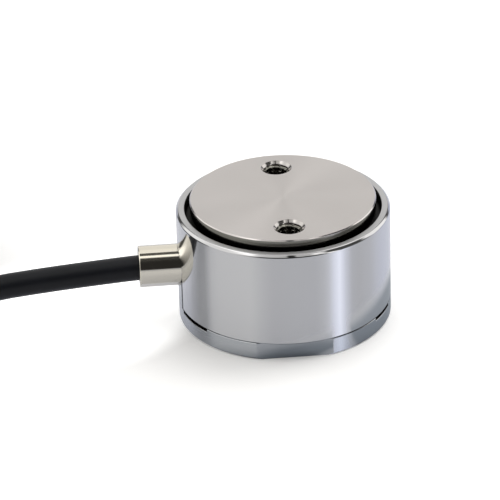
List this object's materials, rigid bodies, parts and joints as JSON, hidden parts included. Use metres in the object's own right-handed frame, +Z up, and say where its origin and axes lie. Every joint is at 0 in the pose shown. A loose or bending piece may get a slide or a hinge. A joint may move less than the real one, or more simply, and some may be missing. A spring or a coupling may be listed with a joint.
{
  "type": "button load cell",
  "caption": "Round button load cell with a proud tapped load plate, a slotted foot with flats and a side cable.",
  "frame": {"origin": "centre of the base plate's underside", "axes": "+Z up through the load plate, the tapped holes in a row along Y, the gland and cable along -X"},
  "size_m": [0.0936, 0.0471, 0.0164],
  "materials": {
    "polished_steel": "mirror polished stainless steel",
    "turned_steel": "face-turned stainless steel",
    "ground_steel": "ground stainless steel",
    "element_steel": "machined spring steel",
    "black_screw": "black oxide",
    "steel_screw": "plain stainless steel",
    "nickel": "polished nickel plate",
    "gauge_foil": "amber film with etched foil",
    "board": "green solder mask",
    "resistor": "black chip",
    "solder": "bright solder",
    "enamel_wire": "enamelled copper",
    "insulation_red": "plain",
    "insulation_black": "plain",
    "insulation_green": "plain",
    "insulation_white": "plain",
    "crimp": "plain",
    "seal_rubber": "matt black",
    "cable_jacket": "satin black",
    "shrink_sleeve": "matt black",
    "tinned": "tinned copper"
  },
  "bodies": {
    "root": {"housing_shell": "polished_steel", "base_plate": "ground_steel", "load_plate": "turned_steel", "flexure": "element_steel", "load_plate_screw": "black_screw", "base_screws": "steel_screw", "gland_tube": "nickel", "terminal_board": "board", "trim_resistors": "resistor", "solder_joints": "solder", "gauge_leads": "enamel_wire", "crimp_ferrule": "crimp", "groove_seal": "seal_rubber", "base_seal": "seal_rubber", "cable": "cable_jacket", "cable_coil": "cable_jacket", "end_sleeve": "shrink_sleeve", "drain_wire": "tinned", "lead_tips": "tinned", "strain_gauge_1": "gauge_foil", "strain_gauge_2": "gauge_foil", "strain_gauge_3": "gauge_foil", "strain_gauge_4": "gauge_foil", "wire_red": "insulation_red", "lead_red": "insulation_red", "wire_black": "insulation_black", "lead_black": "insulation_black", "wire_green": "insulation_green", "lead_green": "insulation_green", "wire_white": "insulation_white", "lead_white": "insulation_white"}
  },
  "joints": []
}
